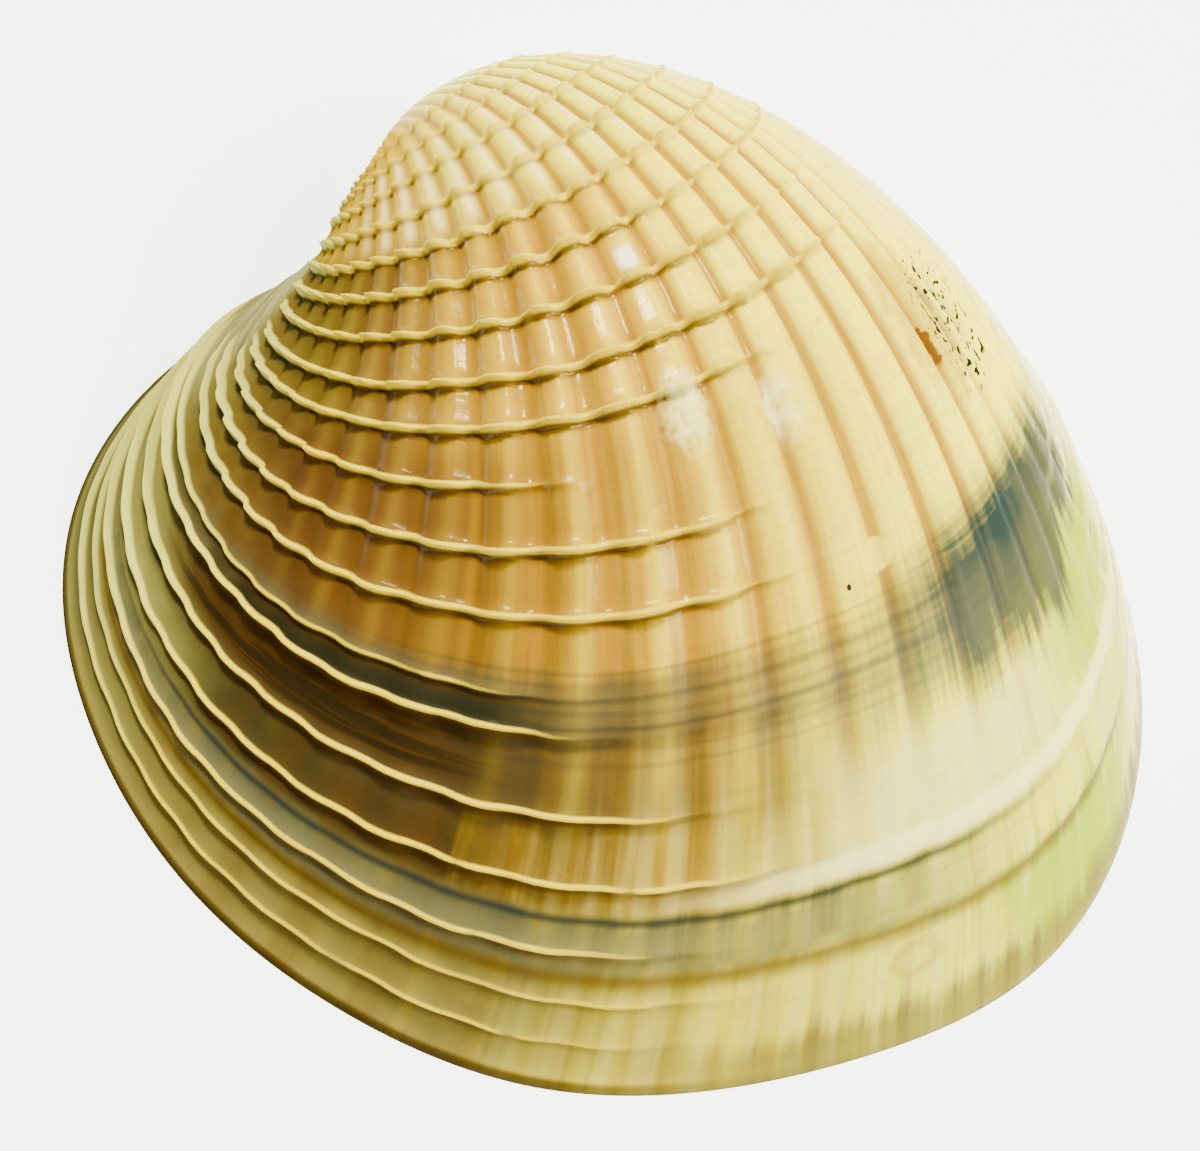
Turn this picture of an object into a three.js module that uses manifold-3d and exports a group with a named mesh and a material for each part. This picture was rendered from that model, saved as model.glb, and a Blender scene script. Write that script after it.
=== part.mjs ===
// Cockle shell: one valve of a ribbed bivalve, lying with its hollow side down.
//
// A bivalve grows by adding to its rim. Every former rim has the shape of the present one, is smaller,
// and has turned up and over about an axis through the beak. The valve is made the same way: one
// outline of the rim is carried through its growth stages, from the beak (near 0) to today's rim (1).
//
// Millimetres, +Z up, +Y towards the hinge, -X towards the front end, -Y towards the free edge.
// A place round the rim is a share of one turn: 0 is the back end, 0.25 the hinge side,
// 0.5 the front end and 0.75 the free edge. A place just past the back end may be written as 1.05.

import * as THREE from 'three';
import { mergeVertices } from 'three/addons/utils/BufferGeometryUtils.js';
import Module from 'manifold-3d';

const { degToRad, lerp, clamp, smoothstep } = THREE.MathUtils;

// Rim: its middle, measured from the beak, and its reach from there at equal steps round it.
const RIM_MIDDLE = new THREE.Vector3(12.2, -14.35, 0);
const RIM_REACH = [
  15.55, 15.55, 15.7, 15.5, 15, 14.95, 16.1, 18.05, 18.95, 17.1, 15.55, 14.25, 13.9, 13.4, 13.7, 15.3,
];

// Coil: the axis, and how far a former rim has turned about it, in radians.
const COIL_AXIS_HEADING = degToRad(38);
const COIL_AXIS_DIP = degToRad(-20);
const COIL_RATE = 0.88;
const COIL_SLOWING = 0.086;
const LATE_TURN = 0.31;
const LATE_TURN_SPAN = 0.41;
const FIRST_STAGE = 0.04;

// Ribs: how many would fit one turn of the rim at each place round it, and how proud they stand.
// They reach their full height at one growth stage and fade out between two later ones.
const RIB_CROWDING = [
  [0.46, 60],
  [0.56, 52.5],
  [0.66, 32.5],
  [0.76, 27],
  [0.86, 31.5],
  [0.96, 47],
  [1.08, 60],
];
const RIB_START = 0.2;
const RIB_HEIGHT = 0.12;
const RIB_FULL_STAGE = 0.45;
const RIB_FADE_STAGES = [0.7, 0.95];
const RIB_SEARCH_STEP = 1e-4;
const SMOOTH_COLUMNS = 18;

// Growth lamellae: the stages at which the rim paused and left a raised lip, sharp at the front
// and worn down by a share of its height towards the back.
const EARLY_STAGES = [FIRST_STAGE, 0.06, 0.09, 0.13, 0.17, 0.21, 0.25];
const LAMELLA_STAGES = [
  0.3, 0.353, 0.403, 0.45, 0.497, 0.545, 0.584, 0.628, 0.674, 0.718, 0.768, 0.791, 0.84, 0.879, 0.918,
  0.948, 0.973,
];
const LAMELLA_HEIGHT = 0.26;
const LAMELLA_FULL_STAGE = 0.6;
const LAMELLA_STEP = 0.007;
const LAMELLA_WEAR = 0.75;
const LAMELLA_WEAR_PLACES = [0.82, 1];

// Hollow: the wall's thickness, the hinge plate's extra width, and the stage where the hollow ends.
const WALL = 1.25;
const HINGE_PLATE_WIDTH = 2.6;
const HINGE_PLACE = 0.33;
const HINGE_SPREAD = 0.17;
const HOLLOW_START = 0.4;
const HOLLOW_COLUMNS = 48;
const HOLLOW_ROWS = 12;

// Hinge teeth stand in a shallow pocket of the hinge plate, short of the rim's level.
const POCKET_DEPTH = 0.9;
const POCKET_EDGE = 0.55;
const POCKET_SPREAD = 0.102;
const POCKET_STEPS = 12;
const TOOTH = { length: 2.2, width: 0.9, tipWidth: 0.36, height: 0.75, root: 0.3 };
const TOOTH_PLACES = [0.285, 0.325, 0.365];

// Tools that cut reach this far past the surface they cut, and slopes are measured over a small step.
const OVERCUT = 1;
const SLOPE_STEP = 1e-3;

const wasm = await Module();
wasm.setup();
const { Manifold, Mesh } = wasm;

// ---- the rim and its growth ----

function rimReach(place) {
  const count = RIM_REACH.length;
  const along = THREE.MathUtils.euclideanModulo(place, 1) * count;
  const start = Math.floor(along);
  const q = along - start;
  const weights = [(1 - q) ** 3, 3 * q ** 3 - 6 * q ** 2 + 4, -3 * q ** 3 + 3 * q ** 2 + 3 * q + 1, q ** 3];
  const reaches = weights.map((weight, i) => weight * RIM_REACH[(start + i - 1 + count) % count]);
  return reaches.reduce((sum, value) => sum + value, 0) / 6;
}

function rimPoint(place, inset = 0) {
  const angle = place * 2 * Math.PI;
  const reach = rimReach(place) - inset;
  return new THREE.Vector3(Math.cos(angle), Math.sin(angle), 0).multiplyScalar(reach).add(RIM_MIDDLE);
}

const coilAxis = new THREE.Vector3(
  Math.cos(COIL_AXIS_HEADING) * Math.cos(COIL_AXIS_DIP),
  Math.sin(COIL_AXIS_HEADING) * Math.cos(COIL_AXIS_DIP),
  Math.sin(COIL_AXIS_DIP),
);

function coilTurn(stage) {
  const age = -Math.log(stage);
  const late = LATE_TURN * (1 - Math.exp(-age / LATE_TURN_SPAN));
  return COIL_RATE * age - COIL_SLOWING * age ** 2 + late;
}

function grown(stage, place) {
  return rimPoint(place).applyAxisAngle(coilAxis, -coilTurn(stage)).multiplyScalar(stage);
}

function outward(stage, place) {
  const along = grown(stage * (1 + SLOPE_STEP), place).sub(grown(stage * (1 - SLOPE_STEP), place));
  const round = grown(stage, place + SLOPE_STEP).sub(grown(stage, place - SLOPE_STEP));
  return round.cross(along).normalize().negate();
}

// ---- ribs and lamellae ----

function ribCrowding(place) {
  for (let i = 1; i < RIB_CROWDING.length; i += 1) {
    const [from, before] = RIB_CROWDING[i - 1];
    const [to, after] = RIB_CROWDING[i];
    if (place < to) return lerp(before, after, clamp((place - from) / (to - from), 0, 1));
  }
  return RIB_CROWDING[RIB_CROWDING.length - 1][1];
}

// Places round the rim of every furrow and rib crest, then even steps over the smooth hinge side.
function columnPlaces() {
  const columns = [];
  const first = RIB_CROWDING[0][0];
  const last = RIB_CROWDING[RIB_CROWDING.length - 1][0];
  let ribs = RIB_START;
  for (let place = first; place < last; place += RIB_SEARCH_STEP) {
    const next = ribs + ribCrowding(place) * RIB_SEARCH_STEP;
    if (Math.floor(next * 2) > Math.floor(ribs * 2)) {
      columns.push({ place, crest: Math.floor(next * 2) % 2 === 1 ? 1 : -1 });
    }
    ribs = next;
  }
  const smoothStart = columns[columns.length - 1].place;
  const smoothEnd = columns[0].place + 1;
  for (let i = 1; i < SMOOTH_COLUMNS; i += 1) {
    columns.push({ place: lerp(smoothStart, smoothEnd, i / SMOOTH_COLUMNS), crest: 0 });
  }
  return columns;
}

function rowStages() {
  const rows = EARLY_STAGES.map((stage) => ({ stage, raised: 0 }));
  for (const stage of LAMELLA_STAGES) {
    rows.push({ stage, raised: 1 });
    rows.push({ stage: stage + LAMELLA_STEP, raised: 0 });
  }
  rows.push({ stage: 1, raised: 0 });
  return rows;
}

// How far a row's point at a column stands out from the smooth growth surface.
function relief(row, column) {
  const ribFade = 1 - smoothstep(row.stage, ...RIB_FADE_STAGES);
  const rib = RIB_HEIGHT * column.crest * ribFade * Math.min(1, row.stage / RIB_FULL_STAGE);
  const worn = 1 - LAMELLA_WEAR * smoothstep(column.place, ...LAMELLA_WEAR_PLACES);
  const lamella = LAMELLA_HEIGHT * row.raised * worn * Math.min(1, row.stage / LAMELLA_FULL_STAGE);
  return row.stage === 1 ? 0 : rib + lamella;
}

// ---- closed solids ----

function fanIndices(ring, centre, flip) {
  return ring.flatMap((vertex, i) => {
    const next = ring[(i + 1) % ring.length];
    return flip ? [centre, next, vertex] : [centre, vertex, next];
  });
}

// Closes a stack of rings, each a list of points, with a fan over the first and last ring.
function closedStack(rings) {
  const columns = rings[0].length;
  const points = rings.flat();
  const indices = [];
  for (let row = 0; row + 1 < rings.length; row += 1) {
    for (let column = 0; column < columns; column += 1) {
      const next = (column + 1) % columns;
      const [a, b] = [row * columns + column, row * columns + next];
      const [c, d] = [a + columns, b + columns];
      indices.push(a, c, b, b, c, d);
    }
  }
  for (const [row, flip] of [[0, false], [rings.length - 1, true]]) {
    const ring = Array.from({ length: columns }, (_, column) => row * columns + column);
    const middle = new THREE.Vector3();
    ring.forEach((vertex) => middle.addScaledVector(points[vertex], 1 / columns));
    points.push(middle);
    indices.push(...fanIndices(ring, points.length - 1, flip));
  }
  const geometry = new THREE.BufferGeometry().setFromPoints(points);
  geometry.setIndex(indices);
  return geometry;
}

function toManifold(geometry) {
  const plain = geometry.clone();
  plain.deleteAttribute('normal');
  plain.deleteAttribute('uv');
  const merged = mergeVertices(plain, 1e-5);
  return new Manifold(new Mesh({
    numProp: 3,
    vertProperties: new Float32Array(merged.attributes.position.array),
    triVerts: new Uint32Array(merged.index.array),
  }));
}

function toGeometry(manifold) {
  const mesh = manifold.getMesh();
  const geometry = new THREE.BufferGeometry();
  geometry.setAttribute('position', new THREE.BufferAttribute(mesh.vertProperties, 3));
  geometry.setIndex(new THREE.BufferAttribute(mesh.triVerts, 1));
  return geometry;
}

// ---- the valve ----

function outerBody() {
  const columns = columnPlaces();
  const rings = rowStages().map((row) => columns.map((column) => {
    const point = grown(row.stage, column.place);
    return point.addScaledVector(outward(row.stage, column.place), relief(row, column));
  }));
  return toManifold(closedStack(rings));
}

function wallAt(place) {
  const apart = Math.abs(THREE.MathUtils.euclideanModulo(place - HINGE_PLACE + 0.5, 1) - 0.5);
  return WALL + HINGE_PLATE_WIDTH * (1 - smoothstep(apart, 0, HINGE_SPREAD));
}

// The hollow follows the outer surface, drawn in towards the rim's middle by the wall's thickness.
function drawnIn(point, place) {
  const share = 1 - wallAt(place) / rimReach(place);
  return point.sub(RIM_MIDDLE).multiplyScalar(share).add(RIM_MIDDLE);
}

function isOverMouth(point) {
  const place = Math.atan2(point.y - RIM_MIDDLE.y, point.x - RIM_MIDDLE.x) / (2 * Math.PI);
  const reach = Math.hypot(point.x - RIM_MIDDLE.x, point.y - RIM_MIDDLE.y);
  return reach <= rimReach(place) - wallAt(place) + 1e-3;
}

// What curls in under the beak is left out, so the hinge plate stays solid.
function hollowTool() {
  const points = [];
  for (let column = 0; column < HOLLOW_COLUMNS; column += 1) {
    const place = column / HOLLOW_COLUMNS;
    for (let row = 0; row <= HOLLOW_ROWS; row += 1) {
      points.push(drawnIn(grown(lerp(HOLLOW_START, 1, row / HOLLOW_ROWS), place), place));
    }
    points.push(drawnIn(grown(1, place), place).setZ(-OVERCUT));
  }
  return Manifold.hull(points.filter(isOverMouth).map((point) => point.toArray()));
}

function pocketTool() {
  const from = HINGE_PLACE - POCKET_SPREAD;
  const to = HINGE_PLACE + POCKET_SPREAD;
  const places = Array.from({ length: POCKET_STEPS + 1 }, (_, i) => lerp(from, to, i / POCKET_STEPS));
  const outer = places.map((place) => rimPoint(place, POCKET_EDGE));
  const inner = places.map((place) => rimPoint(place, wallAt(place) + OVERCUT)).reverse();
  const outline = new THREE.Shape([...outer, ...inner].map(({ x, y }) => new THREE.Vector2(x, y)));
  const pocket = new THREE.ExtrudeGeometry(outline, { depth: POCKET_DEPTH + OVERCUT, bevelEnabled: false });
  return toManifold(pocket.translate(0, 0, -OVERCUT));
}

// Each tooth is a ridge that hangs from the pocket's roof and runs from the beak towards the hollow.
function tooth(place) {
  const { length, width, tipWidth, height, root } = TOOTH;
  const section = new THREE.Shape([
    new THREE.Vector2(-width / 2, root),
    new THREE.Vector2(-tipWidth / 2, -height),
    new THREE.Vector2(tipWidth / 2, -height),
    new THREE.Vector2(width / 2, root),
  ]);
  const ridge = new THREE.ExtrudeGeometry(section, { depth: length, bevelEnabled: false });
  ridge.translate(0, 0, -length / 2);
  ridge.rotateX(Math.PI / 2);
  ridge.rotateZ(place * 2 * Math.PI - Math.PI / 2);
  const middle = rimPoint(place, POCKET_EDGE + length / 2);
  return toManifold(ridge.translate(middle.x, middle.y, POCKET_DEPTH));
}

function valveSolid() {
  const body = outerBody().subtract(hollowTool()).subtract(pocketTool());
  const toothed = TOOTH_PLACES.reduce((solid, place) => solid.add(tooth(place)), body);
  return toothed.trimByPlane([0, 0, 1], 0);
}

const material = new THREE.MeshStandardMaterial({
  name: 'shell',
  color: 0xc9a860,
  roughness: 0.35,
  metalness: 0,
});
const geometry = toGeometry(valveSolid());
geometry.computeBoundingBox();
const middle = geometry.boundingBox.getCenter(new THREE.Vector3());
geometry.translate(-middle.x, -middle.y, -geometry.boundingBox.min.z);
geometry.computeVertexNormals();

const valve = new THREE.Mesh(geometry, material);
valve.name = 'valve';

const shell = new THREE.Group();
shell.name = 'cockle_shell';
shell.add(valve);

export default shell;
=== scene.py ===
"""Cockle shell: the looks of one valve of a ribbed, lamellate clam, lying hollow side down.

The valve is one coiled growth surface. Every former rim has the shape of today's rim, is smaller, and
has turned up and over about an axis through the beak. "Stage" runs from 0 at the beak to 1 at the rim,
and "place" is a share of one turn round the rim: 0 the back end, 0.25 the hinge, 0.5 the front end and
0.75 the free edge. Place runs on above 1 past the back end, and the mesh's first and last columns meet
between the hinge and the front end. Lengths in the growth functions are in millimetres, and the mesh is
in metres.
"""

import math

import bmesh
import bpy
import numpy as np
from bpy.props import FloatProperty, FloatVectorProperty, PointerProperty
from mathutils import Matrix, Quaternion, Vector
from mathutils.bvhtree import BVHTree


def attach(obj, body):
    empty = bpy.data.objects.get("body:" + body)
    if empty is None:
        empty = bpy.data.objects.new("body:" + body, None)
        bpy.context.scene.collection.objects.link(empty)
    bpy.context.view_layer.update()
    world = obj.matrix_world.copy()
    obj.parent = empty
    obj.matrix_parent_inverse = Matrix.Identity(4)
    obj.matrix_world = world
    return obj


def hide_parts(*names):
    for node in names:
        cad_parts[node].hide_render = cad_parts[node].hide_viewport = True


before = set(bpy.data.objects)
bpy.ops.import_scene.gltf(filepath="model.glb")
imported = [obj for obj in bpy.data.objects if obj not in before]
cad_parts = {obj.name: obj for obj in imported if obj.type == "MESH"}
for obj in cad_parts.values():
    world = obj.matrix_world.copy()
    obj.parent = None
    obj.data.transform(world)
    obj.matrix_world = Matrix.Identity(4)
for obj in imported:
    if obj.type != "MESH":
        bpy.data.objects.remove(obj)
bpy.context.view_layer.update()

bl_info = {
    "name": "Cockle Shell",
    "version": (1, 0, 0),
    "blender": (4, 5, 0),
    "location": "View3D > Sidebar > Cockle Shell",
    "description": "Builds one valve of a ribbed cockle shell around its packed solid",
    "category": "Add Mesh",
}

NODE = "valve"
MM = 0.001

# The growth surface, as in the solid: the beak in the part's frame, the middle of the rim from there, and
# how far the rim's outline reaches from its middle, at even steps round it, all in mm.
BEAK = (-10.705, 12.245)
RIM_MIDDLE = (12.2, -14.35)
RIM_REACH = (
    15.55, 15.55, 15.7, 15.5, 15, 14.95, 16.1, 18.05,
    18.95, 17.1, 15.55, 14.25, 13.9, 13.4, 13.7, 15.3,
)
# The coil: its axis, and how fast the rim has turned about it.
COIL_AXIS_HEADING = math.radians(38)
COIL_AXIS_DIP = math.radians(-20)
COIL_RATE = 0.88
COIL_SLOWING = 0.086
LATE_TURN = 0.31
LATE_TURN_SPAN = 0.41
FIRST_STAGE = 0.04

# Ribs: how many would fit one turn of the rim, at places round it. RIB_SINK is the share of a rib's
# height that is cut into the surface, and the rest stands out of it.
RIB_PLACES = (0.46, 0.56, 0.66, 0.76, 0.86, 0.96, 1.08)
RIB_CROWDING = (60, 52.5, 32.5, 27, 31.5, 47, 60)
RIB_START = 0.2
RIB_LEAN = 0.03
RIB_SINK = 0.6

# Columns and rows of the mesh. Places past SEAM are counted one turn less, so that nothing jumps where
# the first and last columns meet.
COLUMNS_PER_RIB = 8
HINGE_COLUMNS = 60
PLAIN_COLUMNS = 12
SEAM_COLUMNS = 4
HINGE_FROM, HINGE_TO = 0.22, 0.43
SEAM = 1.30
EARLY_ROW_STEP = 0.018
ROW_STEP = 0.011
CLOSEST_ROWS = 0.0009
LIP_ROWS = (-0.45, -0.25, -0.13, -0.06, -0.02, 0.02, 0.06, 0.12, 0.2, 0.32)
MM_PER_STAGE = 34.0
UNDER_RIM_ROWS = (0.05, 0.12, 0.2, 0.3, 0.42, 0.54, 0.66, 0.78, 0.9, 1.0)
BOWL_ROWS = 38
INSIDE_FROM = 1.0001
WELD_DISTANCE = 1e-7

# Lamellae: growth stage, height in mm, and the place round the rim where each is half worn away.
LAMELLAE = (
    (0.21, 0.08, 0.92),
    (0.256, 0.10, 0.92),
    (0.303, 0.15, 0.93),
    (0.353, 0.20, 0.91),
    (0.403, 0.26, 0.84),
    (0.450, 0.32, 0.84),
    (0.497, 0.32, 0.90),
    (0.545, 0.34, 0.94),
    (0.584, 0.32, 0.85),
    (0.628, 0.28, 0.72),
    (0.674, 0.30, 0.82),
    (0.718, 0.28, 0.82),
    (0.768, 0.16, 0.72),
    (0.791, 0.30, 0.73),
    (0.840, 0.28, 0.78),
    (0.879, 0.24, 0.82),
    (0.918, 0.22, 0.78),
    (0.948, 0.18, 0.80),
    (0.973, 0.18, 0.78),
)
# The last lamella that leaves a low trace where it is worn away.
LAST_LOW_TRACE = 0.56

# Long steps: growth stage, height and length of the swelling in mm, and the places where they start
# and end.
LEDGES = (
    (0.600, 0.16, 1.0, 0.39, 0.54),
    (0.705, 0.20, 1.0, 0.39, 0.54),
    (0.800, 0.26, 1.3, 0.39, 0.56),
    (0.791, 0.12, 1.0, 0.39, 0.92),
    (0.850, 0.14, 0.7, 0.94, 1.16),
    (0.896, 0.20, 1.5, 0.39, 1.10),
    (0.930, 0.20, 1.2, 0.39, 1.10),
)
LEDGE_DROP = 0.12
# Only the rim touches the floor: every earlier stage stays this far above it, in mm.
LIFT_PER_STAGE = 8.0
LIFT = 0.2

# Underside: where the hinge plate is widest and how far it reaches either side, its teeth, each with the
# place of its middle and its lean across the plate, and how the bowl is fitted under the outside.
HINGE_MIDDLE = 0.33
HINGE_SPREAD = 0.17
TEETH = ((0.285, 0.03), (0.325, 0.0), (0.365, -0.03))
TOOTH_HALF_WIDTH = 0.0085
TOOTH_STANDS = 0.83
RAY_START = 60.0
STEEPEST = 0.5
ROOF_ROUNDING = 0.3


# ---- growth surface ----


def fade(x, start, end):
    """0 before start, 1 after end, with a smooth rise between."""
    t = np.clip((x - start) / (end - start), 0, 1)
    return t * t * (3 - 2 * t)


def rim_reach(place):
    """Distance in mm of the rim's outline from its middle: a closed cubic spline."""
    along = np.mod(place, 1.0) * len(RIM_REACH)
    start = np.floor(along).astype(int)
    q = along - start
    weights = ((1 - q) ** 3, 3 * q**3 - 6 * q**2 + 4, -3 * q**3 + 3 * q**2 + 3 * q + 1, q**3)
    reach = np.array(RIM_REACH)
    return sum(w * reach[(start + i - 1) % len(RIM_REACH)] for i, w in enumerate(weights)) / 6


def rim_point(place, inset=0.0):
    """Point of the rim in mm from the beak, or of a line drawn in from it."""
    angle = place * 2 * math.pi
    reach = rim_reach(place) - inset
    x = RIM_MIDDLE[0] + reach * np.cos(angle)
    y = RIM_MIDDLE[1] + reach * np.sin(angle)
    return np.stack([x, y, np.zeros_like(reach)], -1)


def coil_turn(stage):
    """How far, in radians, the rim has turned since a growth stage."""
    age = -np.log(stage)
    return COIL_RATE * age - COIL_SLOWING * age**2 + LATE_TURN * (1 - np.exp(-age / LATE_TURN_SPAN))


def coil_axis():
    flat = math.cos(COIL_AXIS_DIP)
    heading = COIL_AXIS_HEADING
    return np.array([math.cos(heading) * flat, math.sin(heading) * flat, math.sin(COIL_AXIS_DIP)])


def grown(stage, place):
    """Point of the smooth growth surface, in mm from the beak. Arrays of one shape in, points out."""
    rim = rim_point(place)
    axis = coil_axis()
    turn = -coil_turn(stage)[..., None]
    along = (rim @ axis)[..., None]
    turned = rim * np.cos(turn) + np.cross(axis, rim) * np.sin(turn) + axis * along * (1 - np.cos(turn))
    return turned * stage[..., None]


def outward(stage, place):
    """Unit normal of the growth surface and the length of one unit of stage there, in mm."""
    step = 1e-3
    along = grown(stage * (1 + step), place) - grown(stage * (1 - step), place)
    along = along / (2 * step * stage)[..., None]
    around = grown(stage, place + step) - grown(stage, place - step)
    normal = np.cross(along, around)
    normal /= np.linalg.norm(normal, axis=-1, keepdims=True)
    return normal, np.linalg.norm(along, axis=-1)


# ---- columns and rows of the mesh ----


def rib_count(place):
    """How many ribs lie between the front of the ribbed part and a place round the rim."""
    fine = np.linspace(RIB_PLACES[0], RIB_PLACES[-1], 1500)
    crowding = np.interp(fine, RIB_PLACES, RIB_CROWDING)
    summed = np.concatenate([[0], np.cumsum((crowding[1:] + crowding[:-1]) / 2 * np.diff(fine))])
    return RIB_START + np.interp(place, fine, summed)


def column_places():
    """Places round the rim: even steps of rib count, then the smooth hinge side."""
    fine = np.linspace(RIB_PLACES[0], RIB_PLACES[-1], 3000)
    counts = rib_count(fine)
    ribbed = np.interp(np.arange(counts[0], counts[-1], 1 / COLUMNS_PER_RIB), counts, fine)
    after = np.linspace(RIB_PLACES[-1], 1 + HINGE_FROM, PLAIN_COLUMNS, endpoint=False)
    hinge = np.linspace(1 + HINGE_FROM, 1 + HINGE_TO, HINGE_COLUMNS)
    before = np.linspace(1 + HINGE_TO, 1 + RIB_PLACES[0], SEAM_COLUMNS + 2)[1:-1]
    return np.concatenate([ribbed, after, hinge, before])


def row_stages():
    """Growth stages: even steps, with close rows at every lamella."""
    early = np.arange(FIRST_STAGE, 0.3, EARLY_ROW_STEP)
    rows = [*early, *np.arange(0.3, 0.999, ROW_STEP), 0.99, 0.996, 1.0]
    for stage, _, _ in LAMELLAE:
        rows += [stage + offset / MM_PER_STAGE for offset in LIP_ROWS]
    rows = np.unique(np.round(rows, 5))
    keep = [rows[0]]
    for row in rows[1:]:
        if row - keep[-1] > CLOSEST_ROWS:
            keep.append(row)
    keep[-1] = 1.0
    return np.array(keep)


# ---- relief ----


def waver(place, seed, pace=1.0):
    """A slow irregular wave between about -1 and 1 round the rim."""
    turns = place * 2 * math.pi * pace
    total = np.zeros_like(place)
    for k in (1, 2, 3, 5, 7):
        total = total + math.cos(seed * 7.3 + k * 2.1) * np.sin(turns * k * 1.7 + seed * (3.1 + k)) / k
    return total / 1.6


def off_crest(place):
    """Distance from the crest of the nearest rib, as a share of the ribs' spacing."""
    return np.abs(np.mod(rib_count(place), 1.0) - 0.5 + RIB_LEAN)


def rib_relief(stage, place, height):
    """Height of the ribs, and a mask of their crests."""
    ribbed = fade(place, 0.49, 0.565) * (1 - fade(place, 0.99, 1.07))
    broad = 0.14 * fade(place, 0.74, 0.86)
    bar = 1 - fade(off_crest(place), 0.14 + broad, 0.42 + 0.4 * broad)
    # Low on the young shell, low again near the rim, and lower towards both ends.
    strength = np.minimum(1, stage / 0.40)
    strength = strength * (1 - 0.6 * fade(stage, 0.70, 0.88)) * (1 - 0.6 * fade(stage, 0.86, 0.97))
    strength = strength * (1 - 0.45 * fade(place, 0.90, 1.0)) * (1 - 0.5 * (1 - fade(place, 0.56, 0.76)))
    return height * strength * (bar - RIB_SINK) * ribbed, bar * ribbed


def bell(apart, width):
    """1 in the middle, falling to nothing a few widths away."""
    return np.exp(-((apart / width) ** 2))


def lamella_relief(stage, place, per_stage, scale):
    """Raised lips of the growth pauses, and masks of their crests and of the painted shade in the creases
    below them.
    """
    relief = np.zeros_like(stage)
    crest = np.zeros_like(stage)
    crease_shade = np.zeros_like(stage)
    bead = 1 - fade(off_crest(place), 0.10, 0.46)
    front = 1 - fade(place, 0.51, 0.58)
    beaded = (0.25 + 0.75 * fade(place, 0.50, 0.58)) * (1 - fade(place, 0.95, 1.0))
    beaded = beaded * (1 - 0.75 * fade(stage, 0.62, 0.80))
    scallop = 1 + 0.8 * beaded * (bead - 0.6)
    border = 0.508 - 0.073 * fade(stage, 0.55, 0.85)
    past_lunule = fade(place, border - 0.025, border + 0.025)
    # Widths in mm: the lip, the slope up to it, its steep far face, and the distance of its foot.
    thick = 0.10 + 0.05 * front + 0.03 * beaded * bead
    flank = 0.32 - 0.10 * front
    face = 0.075 + 0.05 * front + 0.025 * beaded * bead
    foot = 0.16 + 0.06 * front
    for i, (middle, height, worn_from) in enumerate(LAMELLAE):
        sway = (0.03 + 0.06 * fade(place, 0.53, 0.62)) * (bead - 0.5) * beaded
        apart = (stage - middle) * per_stage - (sway + 0.05 * waver(place, i + 0.5, 5.0))
        left = 0.0
        if middle < LAST_LOW_TRACE:
            left = (0.6 - 0.5 * fade(middle, 0.42, LAST_LOW_TRACE)) * (1 - fade(place, 1.0, 1.06))
        wear_and_shine = left + (1 - left) * (1 - fade(place, worn_from - 0.05, worn_from + 0.05))
        nibbled = 1 - 0.5 * fade(waver(place, i + 1.0, 9.0), 0.35, 0.8) * fade(place, 0.6, 0.75)
        uneven = (1 + 0.35 * front) * (1 + 0.12 * waver(place, i, 3.0))
        strength = height * scale * wear_and_shine * nibbled * past_lunule * uneven
        slope = 0.6 * bell(apart, thick) + 0.4 * bell(apart, flank)
        lip = np.where(apart < 0, slope, bell(apart, face))
        relief += strength * (lip * scallop - 0.12 * bell(apart - foot, 0.11))
        share = np.clip(strength / 0.25, 0, 1.3)
        crest = np.maximum(crest, bell(apart + 0.02, 0.11 + 0.05 * front) * share)
        # Painted shade: a dark line in the crease at the foot of each lip.
        shaded = np.where(apart > 0, np.exp(-(np.abs((apart - foot) / 0.14) ** 1.5)), 0)
        crease_shade = np.maximum(crease_shade, shaded * share)
    return relief, crest, crease_shade


def ledge_relief(stage, place, per_stage):
    """Long steps where the shell stopped growing: it swells before each and starts again lower."""
    relief = np.zeros_like(stage)
    for middle, height, swell, start, end in LEDGES:
        apart = (stage - middle) * per_stage
        step = height * np.where(apart < 0, bell(apart, swell), bell(apart, LEDGE_DROP))
        relief += step * (1 - fade(place, end - 0.08, end)) * fade(place, start, start + 0.07)
    return relief


# ---- the valve's mesh ----


def outer_points(stages, places, sizes):
    """Rows of points over the outside, and the masks of ribs, lips and the painted shade in the creases
    there.
    """
    stage, place = np.meshgrid(stages, np.where(places > SEAM, places - 1, places), indexing="ij")
    normal, per_stage = outward(stage, place)
    ribs, crown = rib_relief(stage, place, sizes.rib_height / MM)
    lips, crest, crease_shade = lamella_relief(stage, place, per_stage, sizes.lamella_scale)
    ledges = ledge_relief(stage, place, per_stage)
    near_rim = 1 - fade(stage, 0.985, 1.0)
    # The ground between the lips lies a little lower towards the front and the free edge.
    sink = 0.24 * fade(stage, 0.25, 0.42) * (1 - fade(place, 0.84, 0.96)) * fade(place, 0.40, 0.46)
    height = (ribs + lips + ledges - sink) * near_rim * fade(stage, 0.03, 0.12)
    points = grown(stage, place) + normal * height[..., None]
    points[..., 2] = np.maximum(points[..., 2], np.minimum(LIFT_PER_STAGE * (1 - stage), LIFT))
    return points, {"rib": crown, "lip": crest, "crease_shade": crease_shade}


def wall_at(place, sizes):
    """Width in mm of the resting rim, which widens into the hinge plate."""
    apart = np.abs(np.mod(place - HINGE_MIDDLE + 0.5, 1.0) - 0.5)
    return (sizes.wall + sizes.hinge_plate * (1 - fade(apart, 0, HINGE_SPREAD))) / MM


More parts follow.
